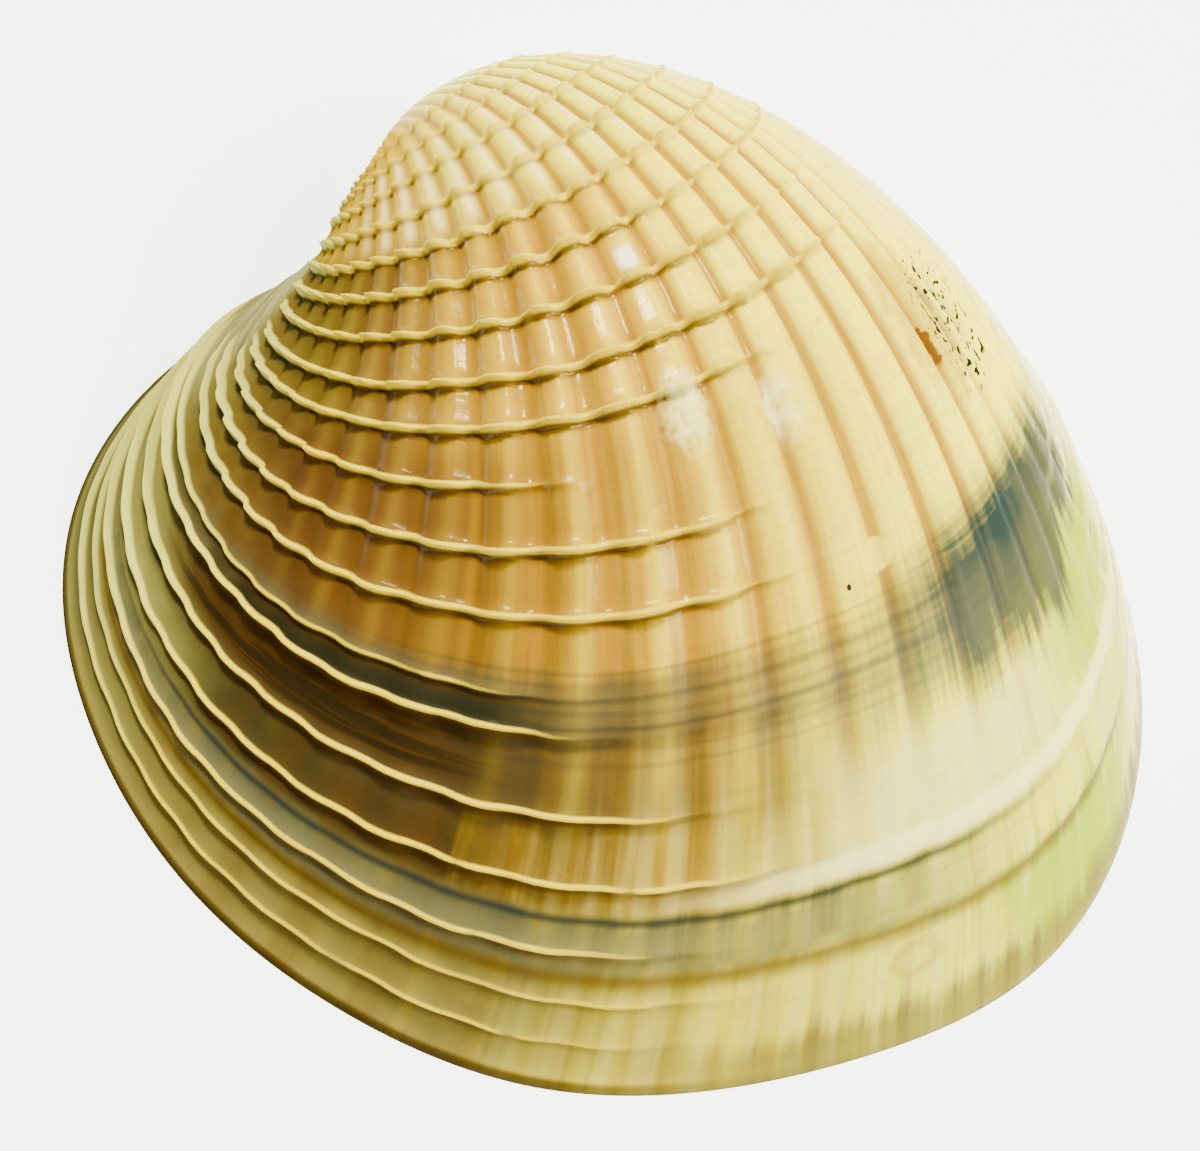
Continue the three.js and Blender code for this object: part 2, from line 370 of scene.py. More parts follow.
def hinge_pocket(place, across, sizes):
    """Depth in mm of the hinge plate's pocket with its three teeth, across the rim from 0 to 1."""
    window = fade(place, 0.225, 0.25) * (1 - fade(place, 0.405, 0.43)) * fade(across, 0.1, 0.28)
    teeth = np.zeros_like(place)
    for middle, lean in TEETH:
        apart = (place - middle - lean * (across - 0.5)) / TOOTH_HALF_WIDTH
        teeth = np.maximum(teeth, np.exp(-(apart**4)))
    standing = TOOTH_STANDS * teeth * fade(across, 0.12, 0.3) * (1 - 0.8 * fade(across, 0.85, 1.0))
    return window * sizes.pocket / MM * (1 - standing)


def underside_points(places, sizes):
    """Rows from the rim's outer edge over the flat rim and up the bowl to its middle."""
    smooth = np.meshgrid(np.linspace(0.3, 1.0, 60), np.linspace(0, 1, 121)[:-1], indexing="ij")
    tree = grid_tree(grown(*smooth))
    turn = np.mod(places, 1.0)
    wall = wall_at(turn, sizes)
    rows = []
    for across in UNDER_RIM_ROWS:
        row = rim_point(turn, wall * across)
        row[:, 2] = hinge_pocket(turn, np.full_like(turn, across), sizes)
        rows.append(row)
    start = rows[-1][:, 2].copy()
    inner = rim_reach(turn) - wall
    for share in np.sin(np.linspace(0.5, 0, BOWL_ROWS + 1)[1:] * math.pi):
        row = rim_point(turn, rim_reach(turn) - inner * share)
        roof = np.array([roof_height(tree, x, y, sizes) for x, y, _ in row])
        row[:, 2] = start + np.maximum(roof - start, 0.0) * (1 - share**9) ** 0.5
        rows.append(row)
    return np.stack(rows)


def grid_tree(points):
    """Search tree of a grid of points that is closed round its rows."""
    rows, columns, _ = points.shape
    index = np.arange(rows * columns).reshape(rows, columns)
    after = np.roll(index, -1, axis=1)
    faces = np.stack([index[:-1], after[:-1], after[1:], index[1:]], -1).reshape(-1, 4)
    return BVHTree.FromPolygons([Vector(p) for p in points.reshape(-1, 3)], faces.tolist())


def roof_height(tree, x, y, sizes):
    """Height in mm of the bowl under the outer surface, rounded off where it meets the rim."""
    hit, normal, _, _ = tree.ray_cast(Vector((x, y, RAY_START)), Vector((0, 0, -1)))
    if hit is None:
        return 0.0
    slope = max(abs(normal.z), STEEPEST)
    clear = hit.z - sizes.wall / MM / slope
    return 0.5 * (clear + math.sqrt(clear * clear + ROOF_ROUNDING))


def wrapped_mesh(name, rows, layers, maps):
    """Closes rows of points into one body: its columns join up, and a face closes each end row.

    Layers hold a number for each point. Maps hold a pair, with one more column so that they run on past
    the seam. The outside takes the first material and the underside the second.
    """
    count, columns, _ = rows.shape
    wrapped = np.concatenate([rows, rows[:, :1]], axis=1)
    bm = bmesh.new()
    bmesh.ops.create_grid(bm, x_segments=columns, y_segments=count - 1, size=1)
    mesh = bpy.data.meshes.new(name)
    bm.to_mesh(mesh)
    bm.free()
    mesh.vertices.foreach_set("co", (wrapped.reshape(-1, 3) * MM).ravel())
    for key, values in layers.items():
        layer = mesh.attributes.new(key, "FLOAT", "POINT")
        layer.data.foreach_set("value", np.concatenate([values, values[:, :1]], axis=1).ravel())
    corner = np.empty(len(mesh.loops), dtype=np.int32)
    mesh.loops.foreach_get("vertex_index", corner)
    for key, uv in maps.items():
        layer = mesh.uv_layers.new(name=key)
        layer.data.foreach_set("uv", uv.reshape(-1, 2)[corner].ravel())
    under = maps["growth"][..., 1].ravel() > INSIDE_FROM
    for polygon in mesh.polygons:
        polygon.material_index = int(all(under[i] for i in polygon.vertices))
    bm = bmesh.new()
    bm.from_mesh(mesh)
    bmesh.ops.remove_doubles(bm, verts=bm.verts, dist=WELD_DISTANCE)
    bmesh.ops.holes_fill(bm, edges=[e for e in bm.edges if e.is_boundary], sides=0)
    bmesh.ops.recalc_face_normals(bm, faces=bm.faces)
    if not all(edge.is_manifold for edge in bm.edges):
        raise RuntimeError("The shell's surface is not closed.")
    for face in bm.faces:
        face.smooth = True
    bm.to_mesh(mesh)
    bm.free()
    return mesh


def valve_mesh(sizes):
    """The whole valve: outside rows from beak to rim, then underside rows from rim to bowl."""
    places = column_places()
    stages = row_stages()
    outer, masks = outer_points(stages, places, sizes)
    under = underside_points(places, sizes)
    rows = np.concatenate([outer, under])
    rows = rows + np.array([BEAK[0], BEAK[1], 0])
    extra = np.zeros(under.shape[:2])
    layers = {key: np.concatenate([values, extra]) for key, values in masks.items()}
    along = np.concatenate([stages, 1 + np.linspace(0, 1, len(under) + 1)[1:]])
    round_rim = np.concatenate([places, [places[0] + 1]])
    growth = np.stack(np.meshgrid(round_rim, along, indexing="xy"), -1)
    ribs = np.stack(np.meshgrid(rib_count(round_rim), along, indexing="xy"), -1)
    return wrapped_mesh("valve_shell", rows, layers, {"growth": growth, "ribs": ribs})


# ---- finish ----


class Field:
    """A number that varies over the surface: arithmetic on it adds shader nodes."""

    def __init__(self, finish, socket):
        self.finish = finish
        self.socket = socket

    def __add__(self, other):
        return self.finish.maths("ADD", self, other)

    def __sub__(self, other):
        return self.finish.maths("SUBTRACT", self, other)

    def __rsub__(self, other):
        return self.finish.maths("SUBTRACT", other, self)

    def __mul__(self, other):
        return self.finish.maths("MULTIPLY", self, other)

    __radd__ = __add__
    __rmul__ = __mul__


class Finish:
    """Writes one material's nodes."""

    def __init__(self, name):
        self.material = bpy.data.materials.new(name)
        self.material.use_nodes = True
        self.tree = self.material.node_tree
        self.shader = self.tree.nodes["Principled BSDF"]

    def feed(self, socket, value):
        """Links a field to a socket, or sets a plain number or colour on it."""
        if isinstance(value, Field):
            self.tree.links.new(value.socket, socket)
        else:
            socket.default_value = value

    def maths(self, operation, *values):
        node = self.tree.nodes.new("ShaderNodeMath")
        node.operation = operation
        for socket, value in zip(node.inputs, values):
            self.feed(socket, value)
        return Field(self, node.outputs[0])

    def uv(self, name):
        """Both directions of one of the piece's UV maps."""
        node = self.tree.nodes.new("ShaderNodeUVMap")
        node.uv_map = name
        split = self.tree.nodes.new("ShaderNodeSeparateXYZ")
        self.tree.links.new(node.outputs[0], split.inputs[0])
        return Field(self, split.outputs[0]), Field(self, split.outputs[1])

    def layer(self, name):
        """One of the piece's point attributes."""
        node = self.tree.nodes.new("ShaderNodeAttribute")
        node.attribute_name = name
        return Field(self, node.outputs["Fac"])

    def fade(self, x, start, end):
        """0 at start, 1 at end, with a smooth rise between. End may lie below start."""
        node = self.tree.nodes.new("ShaderNodeMapRange")
        node.interpolation_type = "SMOOTHSTEP"
        self.feed(node.inputs["Value"], x)
        self.feed(node.inputs["From Min"], start)
        self.feed(node.inputs["From Max"], end)
        return Field(self, node.outputs["Result"])

    def near(self, x, middle, reach):
        """1 where x is middle, falling to 0 at reach either side of it."""
        return self.fade(self.maths("ABSOLUTE", x - middle), reach, 0.0)

    def band(self, x, start, end, soft):
        """1 between start and end, with soft borders."""
        return self.fade(x, start - soft, start + soft) * self.fade(x, end + soft, end - soft)

    def spot(self, place, stage, middle, reach):
        """Distance from a spot's middle, 1 on its border."""
        across = (place - middle[0]) * (1 / reach[0])
        along = (stage - middle[1]) * (1 / reach[1])
        return self.maths("SQRT", across * across + along * along)

    def noise(self, x, y, detail=2.0, roughness=0.5):
        vector = self.tree.nodes.new("ShaderNodeCombineXYZ")
        self.feed(vector.inputs[0], x)
        self.feed(vector.inputs[1], y)
        return self.grain(Field(self, vector.outputs[0]), 1.0, detail, roughness, "2D")

    def grain(self, vector, scale, detail=2.0, roughness=0.5, dimensions="3D"):
        node = self.tree.nodes.new("ShaderNodeTexNoise")
        node.noise_dimensions = dimensions
        self.feed(node.inputs["Vector"], vector)
        self.feed(node.inputs["Scale"], scale)
        self.feed(node.inputs["Detail"], detail)
        self.feed(node.inputs["Roughness"], roughness)
        return Field(self, node.outputs[0])

    def position(self):
        node = self.tree.nodes.new("ShaderNodeTexCoord")
        return Field(self, node.outputs["Object"])

    def mix(self, amount, under, over):
        node = self.tree.nodes.new("ShaderNodeMix")
        node.data_type = "RGBA"
        self.feed(node.inputs[0], amount)
        for socket, value in ((node.inputs[6], under), (node.inputs[7], over)):
            self.feed(socket, value if isinstance(value, Field) else (*value, 1))
        return Field(self, node.outputs[2])

    def ramp(self, x, start, end, stops):
        """Colours at places along x between start and end."""
        node = self.tree.nodes.new("ShaderNodeValToRGB")
        elements = node.color_ramp.elements
        while len(elements) < len(stops):
            elements.new(0.5)
        for element, (place, colour) in zip(elements, stops):
            element.position = (place - start) / (end - start)
            element.color = (*colour, 1)
        self.feed(node.inputs[0], (x - start) * (1 / (end - start)))
        return Field(self, node.outputs[0])

    def bump(self, height, distance):
        node = self.tree.nodes.new("ShaderNodeBump")
        self.feed(node.inputs["Height"], height)
        self.feed(node.inputs["Distance"], distance)
        return Field(self, node.outputs[0])


# Base colours, as shares of the light that they send back.
UMBO_FRONT = (0.27, 0.18, 0.004)
UMBO_TAN = (0.44, 0.26, 0.004)
UMBO_YELLOW = (0.8, 0.64, 0.012)
UMBO_BACK = (0.88, 0.8, 0.02)
CREAM = (0.92, 0.76, 0.2)
PINK = (0.85, 0.7, 0.34)
OLIVE = (0.055, 0.045, 0.002)
OLIVE_FRONT = (0.102, 0.069, 0.01)
RUST_FRONT = (0.069, 0.032, 0.008)
BROWN_FRONT = (0.112, 0.051, 0.008)
MOSS = (0.1, 0.07, 0.008)
MAUVE = (0.15, 0.08, 0.01)
TAN = (0.41, 0.23, 0.003)
HONEY = (0.43, 0.225, 0.002)
STRAW = (0.62, 0.38, 0.004)
PALE = (0.9, 0.72, 0.01)
IVORY = (0.9, 0.76, 0.04)
RUST = (0.03, 0.013, 0.001)
BROWN = (0.07, 0.031, 0.005)
BISCUIT = (0.24, 0.12, 0.002)
PEACH = (0.45, 0.25, 0.003)
BUTTER = (0.78, 0.6, 0.01)
SAND_FRONT = (0.17, 0.155, 0.035)
SAND = (0.03, 0.026, 0.008)
SAND_MID = (0.028, 0.02, 0.006)
SAND_BACK = (0.33, 0.2, 0.005)
LIME_PALE = (0.86, 0.84, 0.05)
WHITE = (0.92, 0.86, 0.32)
LIP = (0.64, 0.47, 0.006)
# Painted shade in the creases below the lips.
CREASE_SHADE = (0.06, 0.026, 0.001)
# Orange of the spaces between the ribs, also laid as painted shade in the furrows.
FURROW = (0.32, 0.15, 0.0008)
BLACK_GREEN = (0.008, 0.009, 0.004)
RED_BLACK = (0.045, 0.02, 0.003)
STAIN_PALE = (0.07, 0.08, 0.06)
SEA = (0.065, 0.073, 0.04)
# Painted shade in the creases below the lips at the front.
CREASE_SHADE_FRONT = (0.03, 0.033, 0.012)
SLATE = (0.02, 0.034, 0.029)
LEDGE = (0.017, 0.022, 0.017)
OCHRE = (0.1, 0.055, 0.002)
LIME = (0.34, 0.44, 0.0005)
EDGE_FRONT = (0.14, 0.135, 0.035)
EDGE = (0.16, 0.13, 0.025)
EDGE_MID = (0.2, 0.165, 0.03)
EDGE_BACK = (0.74, 0.6, 0.02)
LUNULE = (0.26, 0.25, 0.1)
LIP_FRONT = (0.46, 0.43, 0.09)
BAND = (0.065, 0.058, 0.024)
BAND_BROWN = (0.045, 0.032, 0.012)
RIM_OLIVE = (0.13, 0.1, 0.02)
PURPLE = (0.1, 0.06, 0.05)
SPOT_RED = (0.07, 0.01, 0.001)
STREAK = (0.62, 0.54, 0.12)
# Colour of a painted highlight.
HIGHLIGHT_WHITE = (0.95, 0.92, 0.70)
BLACK_SPECK = (0.010, 0.010, 0.006)
INSIDE = (0.90, 0.84, 0.60)
SCAR = (0.55, 0.44, 0.20)

# Inside: muscle scars and the mantle's line. Their depth is 1 at the rim and 2 at the bowl's middle.
SCARS = ((0.51, 1.52), (1.07, 1.54))
SCAR_REACH = (0.035, 0.055)
MANTLE_LINE = 1.43
NOTCHES_PER_RIB = 3.0
INSIDE_BUMP = 0.00008

# Outside: the places between which the ground colours are given, the tint of the shine, and the depth
# of the finest roughness.
GROUND_REACH = (0.46, 1.12)
SHINE_TINT = (1.0, 0.88, 0.55, 1.0)
OUTSIDE_BUMP = 0.00004

# Fine dark growth lines behind the winter bands: growth stage and strength.
FINE_LINES = (
    (0.752, 0.35),
    (0.760, 0.25),
    (0.769, 0.45),
    (0.777, 0.30),
    (0.786, 0.50),
    (0.799, 0.30),
    (0.808, 0.25),
)

# Growth stages of the dark fold lines on the steep back.
BACK_FOLDS = (0.800, 0.826, 0.856, 0.884, 0.912, 0.946)

# Outside marks: middle and reach of each, as a place round the rim and a growth stage. A third number
# says how rough the border is.
BACK_STAIN = ((0.965, 0.785), (0.080, 0.058))
STAIN_WING = ((0.885, 0.795), (0.085, 0.034))
LIME_PATCHES = (((1.005, 0.852), (0.056, 0.040)), ((0.965, 0.958), (0.045, 0.036)))
# The two shine patches and the spot below are painted highlights.
SHINE_PATCHES = (((0.812, 0.600), (0.017, 0.036), 1.2), ((0.866, 0.622), (0.014, 0.028), 1.4))
HIGHLIGHT_SPOT = ((0.811, 0.480), (0.0095, 0.014))
CHIP = ((0.889, 0.730), (0.008, 0.011))
DARK_SPECKS = (((0.8715, 0.740), (0.0014, 0.0025), 0.0), ((0.936, 0.500), (0.0020, 0.0030), 0.3))
PIT = ((0.886, 0.954), (0.010, 0.010))
TAN_SMEAR = ((0.965, 0.630), (0.025, 0.075))
PURPLE_SMEAR = ((0.988, 0.650), (0.016, 0.050))
SPECKLED = ((0.993, 0.652), (0.030, 0.062))
RED_SPOT = ((0.9635, 0.656), (0.0030, 0.019))

# Late growth lines: growth stage and half width.
LEDGE_LINE = (0.899, 0.0065)
OCHRE_LINE = (0.934, 0.010)


class OutsidePaint:
    """Layers of colour over the outside, laid by growth stage and place round the rim."""

    def __init__(self, finish, colours):
        f = finish
        self.f = f
        self.colours = colours
        # Where a point lies: its growth stage, its place round the rim and its rib.
        place, self.stage = f.uv("growth")
        self.place = place - f.maths("GREATER_THAN", place, SEAM)
        self.count, _ = f.uv("ribs")
        self.across = f.maths("FRACT", self.count)
        self.lip = f.layer("lip")
        # Mask of the painted shade in the crease below each lip.
        self.crease_shade = f.layer("crease_shade")
        self.ribbed = f.band(self.place, 0.49, 1.03, 0.03)
        self.space = (1.0 - f.layer("rib")) * self.ribbed
        # Irregularities: broad ones, streaks along the ribs, lines along the growth, and fine mottling.
        self.cloud = f.noise(self.place * 14.0, self.stage * 9.0, 3.0, 0.55)
        self.streak = f.noise(self.count * 2.6, self.stage * 3.0, 3.0, 0.6)
        self.fibre = f.noise(self.count * 9.0, self.stage * 7.0, 2.0, 0.5)
        self.hairline = f.noise(self.place * 9.0, self.stage * 260.0, 2.0, 0.6)
        self.growth_line = f.noise(self.place * 5.0, self.stage * 70.0, 3.0, 0.6)
        self.mottle = f.noise(self.place * 90.0, self.stage * 60.0, 3.0, 0.6)
        # The same place and stage with an irregular border.
        self.drift = self.place + (self.cloud - 0.5) * 0.05
        self.ragged = self.stage + (self.streak - 0.5) * 0.03 + (self.growth_line - 0.5) * 0.012
        self.colour = None

    def lay(self, amount, over):
        """Lays one more colour over what is there."""
        self.colour = self.f.mix(amount, self.colour, over)

    def age(self, *stops):
        """Ground colour of one age: colours at places from the front round to the back."""
        return self.f.ramp(self.drift, *GROUND_REACH, stops)

    def ground(self):
        """Ground colours of five ages of growth, and of the smooth hinge side."""
        f = self.f
        rib = self.colours.rib
        umbo = self.age(
            (0.50, UMBO_FRONT),
            (0.62, UMBO_TAN),
            (0.76, UMBO_YELLOW),
            (0.92, UMBO_BACK),
            (1.05, CREAM),
        )
        middle = self.age(
            (0.47, SAND_FRONT),
            (0.52, OLIVE_FRONT),
            (0.57, MOSS),
            (0.63, MAUVE),
            (0.70, TAN),
            (0.76, HONEY),
            (0.81, STRAW),
            (0.87, rib),
            (0.98, IVORY),
            (1.08, CREAM),
        )
        lower = self.age(
            (0.47, SAND_FRONT),
            (0.53, OLIVE_FRONT),
            (0.59, RUST_FRONT),
            (0.65, BROWN_FRONT),
            (0.73, BISCUIT),
            (0.80, PEACH),
            (0.88, BUTTER),
            (0.95, IVORY),
            (1.05, IVORY),
        )
        late = self.age(
            (0.47, SAND_FRONT),
            (0.54, SAND_FRONT),
            (0.60, SAND),
            (0.70, SAND_MID),
            (0.80, SAND_BACK),
            (0.89, LIME_PALE),
            (0.98, LIME_PALE),
            (1.06, WHITE),
        )
        edge = self.age(
            (0.47, EDGE_FRONT),
            (0.58, EDGE),
            (0.72, EDGE_MID),
            (0.82, EDGE_BACK),
            (0.90, LIME_PALE),
            (0.98, LIME_PALE),
            (1.06, WHITE),
        )
        self.colour = f.mix(f.fade(self.ragged, 0.36, 0.42), umbo, middle)
        self.lay(f.fade(self.ragged, 0.57, 0.63), lower)
        self.lay(f.fade(self.ragged, 0.76, 0.84), late)
        self.lay(f.fade(self.stage, 0.888, 0.902), edge)
        self.lay(f.fade(self.place, 1.16, 1.28) * 0.85, LUNULE)
        lunule = f.fade(self.place, 0.50, 0.47) * f.fade(self.stage, 0.88, 0.70)
        self.lay(f.maths("MAXIMUM", f.fade(self.place, 0.43, 0.40), lunule) * 0.85, LUNULE)
        self.lay(f.fade(self.growth_line, 0.5, 0.66) * f.fade(self.place, 1.0, 1.08) * 0.45, BISCUIT)
        self.lay(f.fade(self.growth_line, 0.5, 0.35) * f.fade(self.place, 0.52, 0.49) * 0.4, OLIVE)

    def ribs(self):
        """Pale ribs with darker, tinted spaces, partly the shell's own colour and partly painted shade, a
        fine line of painted shade in each furrow, and a painted highlight along one flank of each rib.
        """
        f = self.f
        place, stage = self.place, self.stage
        early = f.fade(stage, 0.90, 0.76)
        # Darker spaces between the ribs: partly the shell's own colour, partly painted shade.
        self.lay(self.space * early * f.band(place, 0.50, 0.74, 0.03) * 0.22, BROWN)
        tint_and_shade = f.band(place, 0.70, 0.97, 0.03) * (0.5 + 0.3 * f.fade(place, 0.76, 0.84))
        self.lay(self.space * early * tint_and_shade, self.colours.furrow)
        # Painted shade: a fine dark line in each furrow.
        furrow = f.fade(f.maths("ABSOLUTE", self.across - 0.5), 0.36, 0.49)
        furrow = furrow * f.band(stage, 0.17, 0.82, 0.05) * f.band(place, 0.68, 0.985, 0.04)
        self.lay(furrow * (0.35 + 0.7 * self.streak), self.colours.furrow)
        # Painted highlight: a pale line along the flank of each rib towards the back.
        ridge_highlight = f.near(self.across, 0.60, 0.22) * self.ribbed
        ridge_highlight = ridge_highlight * f.band(stage, 0.22, 0.84, 0.04) * f.band(place, 0.60, 0.98, 0.04)
        self.lay(ridge_highlight * (0.05 + 0.37 * f.fade(place, 0.68, 0.80)), self.colours.rib)

    def streaks(self):
        """Fine streaks along ribs and spaces, broader and stronger on the late growth."""
        f = self.f
        place, stage = self.place, self.stage
        fibrous = f.fade(stage, 0.40, 0.60) * f.band(place, 0.66, 1.0, 0.05)
        self.lay(f.fade(self.fibre, 0.50, 0.72) * fibrous * 0.16, BROWN)
        self.lay(f.fade(self.fibre, 0.48, 0.28) * fibrous * f.fade(place, 0.70, 0.80) * 0.12, STREAK)
        sandy = f.fade(self.streak, 0.5, 0.75) * f.fade(stage, 0.80, 0.88)
        self.lay(sandy * f.band(place, 0.70, 1.0, 0.06) * 0.6, SAND_BACK)
        chalky = f.fade(self.streak, 0.48, 0.25) * f.fade(stage, 0.82, 0.90)
        self.lay(chalky * f.band(place, 0.84, 1.04, 0.04) * 0.5, WHITE)
        late = f.fade(stage, 0.76, 0.86) * f.fade(place, 0.56, 0.64) * self.ribbed
        self.lay((1.0 - self.streak) * late * 0.35, BROWN)
        # Darker spaces between the ribs on the late growth: partly the shell's own colour, partly painted
        # shade.
        self.lay(self.space * late * f.fade(place, 0.93, 0.80) * 0.3, BROWN)
        riblet = f.near(f.maths("FRACT", self.count * 2.0 + self.streak * 1.5), 0.5, 0.4)
        self.lay(riblet * late * f.fade(place, 0.70, 0.80) * 0.35, STREAK)
        fine = f.band(stage, 0.62, 0.97, 0.08) * f.fade(place, 0.70, 0.82)
        self.lay(f.fade(self.hairline, 0.50, 0.75) * fine * 0.12, BROWN)
        self.lay(f.fade(self.mottle, 0.55, 0.8) * f.fade(place, 0.68, 0.78) * 0.3, HONEY)

    def flank_highlights(self):
        """Painted highlights: pale pink glassy cells between the ribs near the beak, on the side of each
        rib towards the back.
        """
        f = self.f
        # Painted highlight on the flank of each rib between the lips.
        flank_highlight = f.near(self.across, 0.68, 0.26) * f.band(self.stage, 0.26, 0.385, 0.012)
        flank_highlight = flank_highlight * f.band(self.place, 0.60, 0.90, 0.04) * f.fade(self.lip, 0.5, 0.1)
        self.lay(flank_highlight * 0.6, PINK)

    def winter_bands(self):
        """Dark bands and fine lines from the pauses of two winters."""
        f = self.f
        grey = f.band(self.ragged, 0.757, 0.795, 0.010) * f.fade(self.place, 0.90, 0.76)
        self.lay(grey * 0.7 * f.fade(self.place, 0.50, 0.56), BAND)
        grey = f.band(self.ragged, 0.752, 0.800, 0.010) * f.band(self.drift, 0.64, 0.88, 0.05)
        self.lay(grey * (0.15 + 0.3 * self.space) * f.fade(self.growth_line, 0.25, 0.5), BAND)
        brown = f.band(self.ragged, 0.785, 0.850, 0.012) * f.band(self.drift, 0.56, 0.83, 0.06)
        brown = brown * (0.62 - 0.38 * f.fade(self.place, 0.70, 0.78) + 0.35 * self.space)
        self.lay(brown, BAND_BROWN)
        green = f.band(self.stage, 0.768, 0.789, 0.003) * f.band(self.drift, 0.565, 0.725, 0.02)
        self.lay(green * 0.9, self.colours.green_band)
        red = f.band(self.stage, 0.793, 0.833, 0.008) * f.band(self.drift, 0.555, 0.70, 0.035)
        self.lay(red * (0.6 + self.growth_line * 0.7), self.colours.red_band)
        self.lay(red * f.fade(self.growth_line, 0.46, 0.58) * 0.7, self.colours.green_band)
        wander = self.stage + (self.growth_line - 0.5) * 0.008
        for line, strength in FINE_LINES:
            lined = f.near(wander, line, 0.0032) * f.band(self.place, 0.66, 0.92, 0.05)
            self.lay(lined * strength, self.colours.ledge)
        sea = f.band(self.ragged, 0.90, 0.932, 0.008) * f.band(self.place, 0.50, 0.90, 0.05)
        self.lay(sea * (0.45 + 0.45 * self.streak), SEA)

    def stains(self):
        """The blue-grey stain with its ragged edge, the lime patches and the olive rim."""
        f = self.f
        rough = (self.streak - 0.5) * 0.9 + (self.mottle - 0.5) * 0.15 + (self.hairline - 0.5) * 0.3
        slanted = self.place + (self.stage - 0.78) * -0.25
        stain = f.fade(f.spot(slanted, self.ragged, *BACK_STAIN) + rough, 1.25, 0.55)
        self.lay(stain * (0.80 + 0.3 * self.cloud), self.colours.stain)
        away = f.spot(self.place, self.ragged, *STAIN_WING)
        self.lay(f.fade(away + (self.streak - 0.5) * 1.0, 1.2, 0.2) * 0.4, STAIN_PALE)
        fingers = self.stage + (self.streak - 0.5) * 0.09
        patches = [f.fade(f.spot(self.drift, fingers, *patch), 1.2, 0.6) for patch in LIME_PATCHES]
        self.lay(f.maths("MAXIMUM", *patches) * (0.65 + 0.5 * self.fibre), self.colours.lime)
        self.lay(f.band(self.stage, 0.881, 0.893, 0.003) * f.fade(self.place, 0.76, 0.88) * 0.7, WHITE)
        pale = f.band(self.ragged, 0.835, 0.890, 0.012) * f.band(self.drift, 0.85, 0.95, 0.04)
        self.lay(pale * 0.35, WHITE)
        rim = f.fade(self.ragged, 0.970, 0.990) * f.fade(self.place, 0.76, 0.84)
        self.lay(rim * (0.45 + 0.6 * self.streak), RIM_OLIVE)

    def back_folds(self):
        """Dark lines with a white one above each, on the steep back."""
        f = self.f
        wander = self.stage + (self.cloud - 0.5) * 0.006
        for fold in BACK_FOLDS:
            dark = f.near(wander, fold, 0.0045) * f.band(self.place, 1.02, 1.14, 0.03)
            self.lay(dark * 0.55, OLIVE)
            pale = f.near(wander, fold - 0.009, 0.006) * f.band(self.place, 1.03, 1.16, 0.05)
            self.lay(pale * 0.6, WHITE)

    def lips(self):
        """Lips, the painted shade in the crease at the foot of each, and the lines of the long steps."""
        f = self.f
        place, stage = self.place, self.stage
        front = f.fade(place, 0.60, 0.52)
        # Painted shade: dark colour in the crease below each lip.
        crease_shades = f.mix(front, self.colours.crease_shade, CREASE_SHADE_FRONT)
        self.lay(f.maths("MINIMUM", self.crease_shade, 1.0) * f.fade(place, 0.98, 0.80) * 0.85, crease_shades)
        lips = f.mix(front, self.colours.lip, self.colours.front_lip)
        early = f.fade(stage, 0.50, 0.40)
        seen = f.fade(self.lip, 0.25 - 0.15 * early, 0.75 - 0.25 * early)
        self.lay(seen * f.fade(place, 1.08, 0.98 - 0.06 * f.fade(stage, 0.40, 0.60)), lips)
        ledge = f.near(stage, *LEDGE_LINE) * f.band(place, 0.55, 0.93, 0.05)
        self.lay(ledge * 0.9, self.colours.ledge)
        self.lay(f.near(stage, *OCHRE_LINE) * f.band(place, 0.50, 1.02, 0.04) * 0.8, OCHRE)
        self.lay(f.band(stage, 0.9945, 1.01, 0.0015) * f.fade(place, 0.85, 0.75) * 0.8, RUST)

    def patch(self, middle, reach, roughness, soft=0.6):
        """How much of a rough-edged patch covers each point."""
        away = self.f.spot(self.place, self.stage, middle, reach) + (self.mottle - 0.5) * roughness
        return self.f.fade(away, 1.0, soft)

    def marks(self):
        """Painted white highlight patches and a painted highlight spot, a chip, a pit, the speckled
        corner and its red-brown spot.
        """
        f = self.f
        # Painted highlights: two white patches of shine on the ribs.
        wear_and_shine = f.maths("MAXIMUM", *[self.patch(*shine_patch) for shine_patch in SHINE_PATCHES])
        self.lay(wear_and_shine * f.fade(self.mottle, 0.2, 0.7) * 0.7, WHITE)
        # Painted highlight: a small white spot of shine on one rib.
        self.lay(self.patch(*HIGHLIGHT_SPOT, 1.0, 0.4) * 0.8, HIGHLIGHT_WHITE)
        self.lay(self.patch(*CHIP, 0.5, 0.8) * 0.6, IVORY)
        for dark_speck in DARK_SPECKS:
            self.lay(self.patch(*dark_speck), BLACK_SPECK)
        away = f.spot(self.place, self.stage, *PIT) + (self.mottle - 0.5) * 0.4
        self.lay(f.near(away, 0.8, 0.5) * 0.4, SAND_BACK)
        self.lay(self.patch(*TAN_SMEAR, 1.2, 0.5) * 0.5, self.colours.furrow)
        smear = self.patch(*PURPLE_SMEAR, 1.8, 0.4) * f.fade(self.fibre, 0.4, 0.6)
        self.lay(smear * 0.45, PURPLE)
        speck = f.fade(f.noise(self.place * 260.0, self.stage * 170.0, 1.0), 0.39, 0.33)
        self.lay(speck * self.patch(*SPECKLED, 1.0, 0.7), BLACK_SPECK)
        self.lay(self.patch(*RED_SPOT, 3.0, 0.6) * 0.85, SPOT_RED)


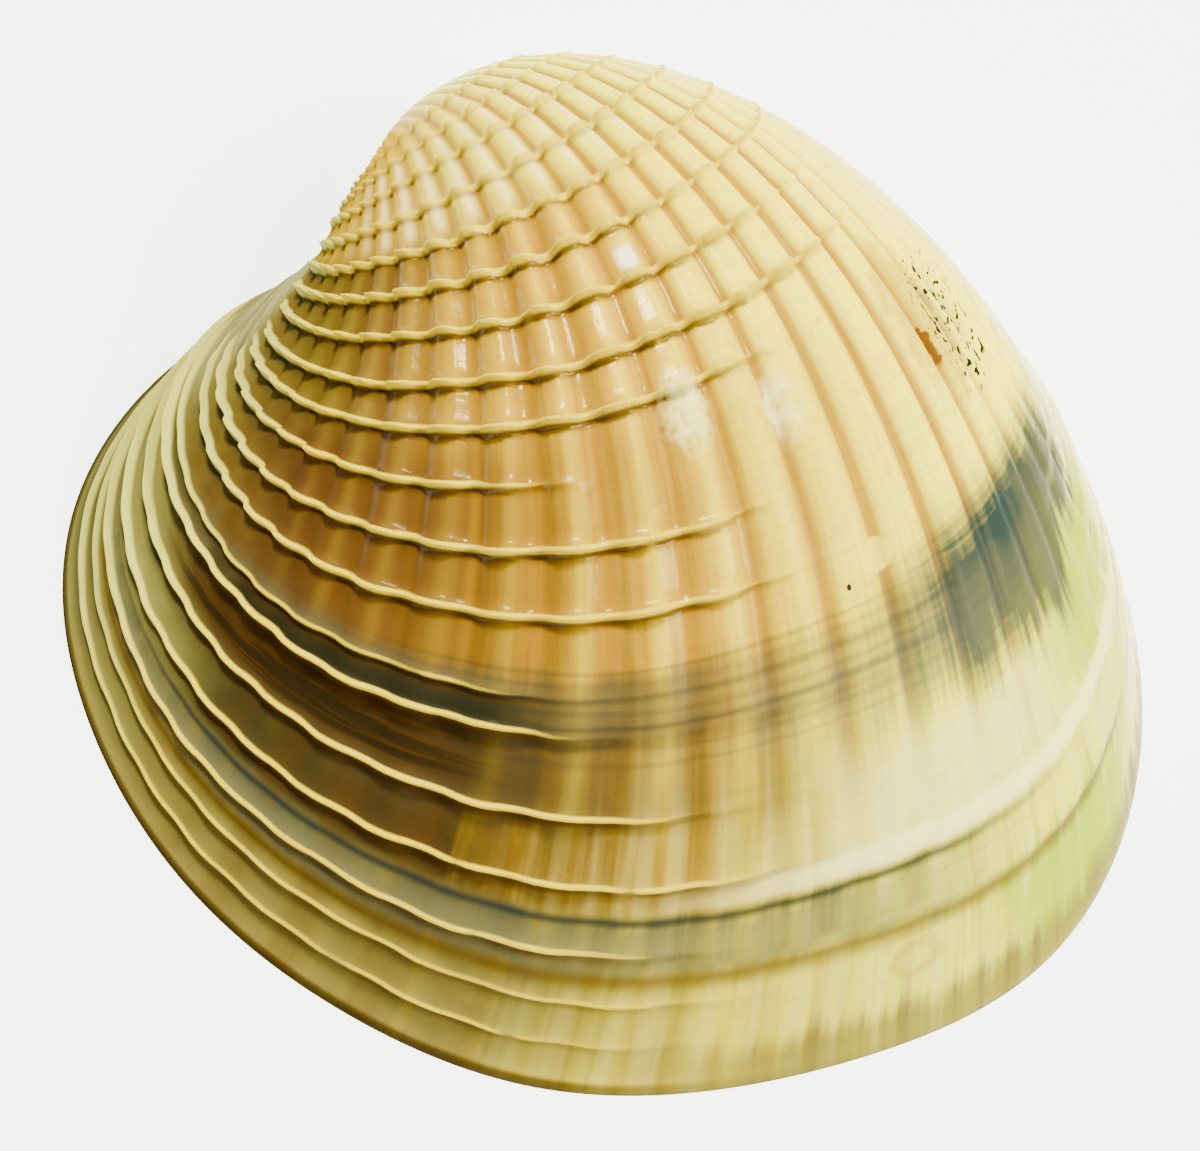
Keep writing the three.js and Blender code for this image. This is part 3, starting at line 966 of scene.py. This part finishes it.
def outside_material(colours):
    """Ribbed outside, glossy in the middle and matt at the front and the back."""
    f = Finish("shell_outside")
    paint = OutsidePaint(f, colours)
    paint.ground()
    paint.ribs()
    paint.streaks()
    paint.flank_highlights()
    paint.winter_bands()
    paint.stains()
    paint.back_folds()
    paint.lips()
    paint.marks()
    f.feed(f.shader.inputs["Base Color"], paint.colour)
    f.feed(f.shader.inputs["Roughness"], 0.08 + paint.mottle * 0.26)
    gloss = f.band(paint.place, 0.66, 0.87, 0.06) * f.band(paint.stage, 0.35, 0.73, 0.06)
    shine = 0.02 * f.fade(paint.place, 0.66, 0.80) + 0.14 * gloss
    f.feed(f.shader.inputs["Specular IOR Level"], shine)
    f.feed(f.shader.inputs["Specular Tint"], SHINE_TINT)
    height = paint.growth_line * 0.3 + paint.hairline * 0.02 + paint.mottle * 0.5
    f.feed(f.shader.inputs["Normal"], f.bump(height, OUTSIDE_BUMP))
    return f.material


def inside_material(colours):
    """Smooth inside with two muscle scars, the mantle's line and a finely notched margin."""
    f = Finish("shell_inside")
    place, depth = f.uv("growth")
    count, _ = f.uv("ribs")
    cloud = f.grain(f.position(), 120.0, 3.0)
    wander = f.noise(place * 12.0, depth * 3.0, 2.0)
    ray = f.noise(count * 1.5, depth * 2.0, 3.0)
    colour = f.mix(f.fade(depth, 1.3, 1.1) * 0.7, colours.inside, CREAM)
    colour = f.mix(f.fade(ray, 0.45, 0.75) * f.fade(depth, 1.75, 1.35) * 0.35, colour, PINK)
    colour = f.mix(f.fade(depth, 1.55, 1.9) * 0.35, colour, UMBO_BACK)
    uneven = (wander - 0.5) * 0.5
    scars = [f.fade(f.spot(place, depth, scar, SCAR_REACH) + uneven, 1.05, 0.95) for scar in SCARS]
    scar = f.maths("MAXIMUM", *scars)
    sinus = f.near(place, 1.0, 0.09) * 0.10
    mantle = f.near(depth + (wander - 0.5) * 0.03 - sinus, MANTLE_LINE, 0.008)
    mantle = mantle * f.band(place, 0.54, 1.05, 0.02)
    colour = f.mix(f.maths("MAXIMUM", scar, mantle) * 0.55, colour, SCAR)
    notch = f.near(f.maths("FRACT", count * NOTCHES_PER_RIB), 0.5, 0.5)
    notch = notch * f.band(depth, 1.0, 1.10, 0.02) * f.band(place, 0.50, 1.12, 0.03)
    colour = f.mix(notch * 0.15, colour, SCAR)
    f.feed(f.shader.inputs["Base Color"], colour)
    f.feed(f.shader.inputs["Roughness"], 0.32 + cloud * 0.2 - 0.12 * scar)
    height = notch - scar * 0.8 - mantle * 0.4 + cloud * 0.15
    f.feed(f.shader.inputs["Normal"], f.bump(height, INSIDE_BUMP))
    return f.material


# ---- operators ----


def length_property(name, description, default, least, most):
    return FloatProperty(
        name=name,
        description=description,
        default=default,
        min=least,
        max=most,
        unit="LENGTH",
    )


class ShellSizes(bpy.types.PropertyGroup):
    """Sizes that a user may change"""

    rib_height: length_property("Rib height", "Crest to furrow", 0.00028, 0.0, 0.001)
    lamella_scale: FloatProperty(
        name="Lip height",
        description="Height of the growth lips, 1 as found",
        default=1.0,
        min=0.0,
        max=2.0,
    )
    wall: length_property("Wall", "Thickness of the shell", 0.00125, 0.0005, 0.002)
    hinge_plate: length_property("Hinge plate", "Extra width of the rim at the hinge", 0.0026, 0.0, 0.004)
    pocket: length_property("Hinge pocket", "Depth of the pocket between the teeth", 0.0009, 0.0, 0.0012)


def colour_property(name, description, default):
    return FloatVectorProperty(
        name=name,
        description=description,
        default=default,
        subtype="COLOR",
        min=0,
        max=1,
    )


class ShellColours(bpy.types.PropertyGroup):
    """Colours that a user may change"""

    # The rib colour is also laid as the painted highlight along one flank of each rib.
    rib: colour_property("Rib", "Crests of the ribs towards the back", PALE)
    # The furrow colour is also laid as painted shade in the furrow lines.
    furrow: colour_property("Furrow", "Spaces between the ribs", FURROW)
    lip: colour_property("Lip", "Growth lips", LIP)
    front_lip: colour_property("Front lip", "Growth lips at the front end", LIP_FRONT)
    # The crease colour is painted shade at the foot of each lip.
    crease_shade: colour_property("Crease", "Stain at the foot of each lip", CREASE_SHADE)
    green_band: colour_property("Green band", "Upper dark winter band", BLACK_GREEN)
    red_band: colour_property("Red band", "Lower dark winter band", RED_BLACK)
    stain: colour_property("Stain", "Blue-grey stain near the back", SLATE)
    lime: colour_property("Lime", "Algae-green patches near the back", LIME)
    ledge: colour_property("Ledge", "Line of the last long step", LEDGE)
    inside: colour_property("Inside", "Smooth inside of the shell", INSIDE)


class SHELL_OT_valve(bpy.types.Operator):
    """Builds the ribbed valve and rides it on the solid"""

    bl_idname = "shell.valve"
    bl_label = "Valve"

    def execute(self, context):
        settings = context.scene
        mesh = valve_mesh(settings.shell_sizes)
        mesh.materials.append(outside_material(settings.shell_colours))
        mesh.materials.append(inside_material(settings.shell_colours))
        valve = bpy.data.objects.new("valve_shell", mesh)
        context.collection.objects.link(valve)
        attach(valve, "root")
        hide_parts(NODE)
        return {"FINISHED"}


class SHELL_OT_stage(bpy.types.Operator):
    """Lays the floor and sets the lights and the camera"""

    bl_idname = "shell.stage"
    bl_label = "Floor, lights and camera"

    def execute(self, context):
        lay_floor(context)
        set_lights(context)
        set_camera(context)
        return {"FINISHED"}


# Floor, lights and camera, in metres and watts.
FLOOR_HALF_SIZE = 2.0
FLOOR_COLOUR = (0.83, 0.85, 0.95, 1)
FLOOR_ROUGHNESS = 0.8
FLOOR_GLOW = 2.4
WHITE_LIGHT = (1, 1, 1, 1)
ROOM_LIGHT = 0.3
LIGHT_COLOUR = (1.0, 0.97, 0.80)
LIGHT_TARGET = (0, 0, 0.005)
KEY_PLACE, KEY_POWER, KEY_SIZE = (-0.075, 0.14, 0.26), 2.4, 0.06
SIDE_PLACE, SIDE_POWER, SIDE_SIZE = (0.18, 0.0, 0.21), 2.0, 0.14
CAMERA_PLACE = (0.00336, -0.05315, 0.11242)
CAMERA_TARGET = (-0.00054, -0.00170, 0.005)
CAMERA_ROLL = math.radians(11.66)
CAMERA_LENS = 119.8
CAMERA_SENSOR = 36.0
CAMERA_NEAR = 0.005


def lay_floor(context):
    mesh = bpy.data.meshes.new("floor")
    bm = bmesh.new()
    bmesh.ops.create_grid(bm, x_segments=1, y_segments=1, size=FLOOR_HALF_SIZE)
    bm.to_mesh(mesh)
    bm.free()
    material = bpy.data.materials.new("floor_white")
    material.use_nodes = True
    shader = material.node_tree.nodes["Principled BSDF"]
    shader.inputs["Base Color"].default_value = FLOOR_COLOUR
    shader.inputs["Roughness"].default_value = FLOOR_ROUGHNESS
    shader.inputs["Emission Color"].default_value = WHITE_LIGHT
    shader.inputs["Emission Strength"].default_value = FLOOR_GLOW
    mesh.materials.append(material)
    floor = bpy.data.objects.new("floor", mesh)
    context.collection.objects.link(floor)


def turn_towards(place, target):
    return (Vector(target) - Vector(place)).to_track_quat("-Z", "Y")


def add_area_light(context, name, place, power, size):
    light = bpy.data.lights.new(name, "AREA")
    light.energy = power
    light.shape = "DISK"
    light.size = size
    light.color = LIGHT_COLOUR
    lamp = bpy.data.objects.new(name, light)
    lamp.location = place
    lamp.rotation_mode = "QUATERNION"
    lamp.rotation_quaternion = turn_towards(place, LIGHT_TARGET)
    context.collection.objects.link(lamp)


def set_lights(context):
    add_area_light(context, "key_light", KEY_PLACE, KEY_POWER, KEY_SIZE)
    add_area_light(context, "side_light", SIDE_PLACE, SIDE_POWER, SIDE_SIZE)
    world = bpy.data.worlds.new("studio_white")
    world.use_nodes = True
    background = world.node_tree.nodes["Background"]
    background.inputs["Color"].default_value = WHITE_LIGHT
    background.inputs["Strength"].default_value = ROOM_LIGHT
    context.scene.world = world


def set_camera(context):
    data = bpy.data.cameras.new("camera")
    data.lens = CAMERA_LENS
    data.sensor_width = CAMERA_SENSOR
    data.clip_start = CAMERA_NEAR
    camera = bpy.data.objects.new("camera", data)
    camera.location = CAMERA_PLACE
    camera.rotation_mode = "QUATERNION"
    look = turn_towards(CAMERA_PLACE, CAMERA_TARGET)
    camera.rotation_quaternion = look @ Quaternion((0, 0, 1), CAMERA_ROLL)
    context.collection.objects.link(camera)
    context.scene.camera = camera


class SHELL_PT_panel(bpy.types.Panel):
    """Shows the shell's sizes and colours and the buttons of its two operators"""

    bl_idname = "SHELL_PT_panel"
    bl_label = "Cockle Shell"
    bl_space_type = "VIEW_3D"
    bl_region_type = "UI"
    bl_category = "Cockle Shell"

    def draw(self, context):
        for settings in (context.scene.shell_sizes, context.scene.shell_colours):
            box = self.layout.box()
            for key in settings.__annotations__:
                box.prop(settings, key)
        for operator in (SHELL_OT_valve, SHELL_OT_stage):
            self.layout.operator(operator.bl_idname)


CLASSES = (ShellSizes, ShellColours, SHELL_OT_valve, SHELL_OT_stage, SHELL_PT_panel)


def register():
    for cls in CLASSES:
        bpy.utils.register_class(cls)
    bpy.types.Scene.shell_sizes = PointerProperty(type=ShellSizes)
    bpy.types.Scene.shell_colours = PointerProperty(type=ShellColours)


def unregister():
    del bpy.types.Scene.shell_colours
    del bpy.types.Scene.shell_sizes
    for cls in reversed(CLASSES):
        bpy.utils.unregister_class(cls)


def main():
    register()
    bpy.ops.shell.valve()
    bpy.ops.shell.stage()


if __name__ == "__main__":
    main()
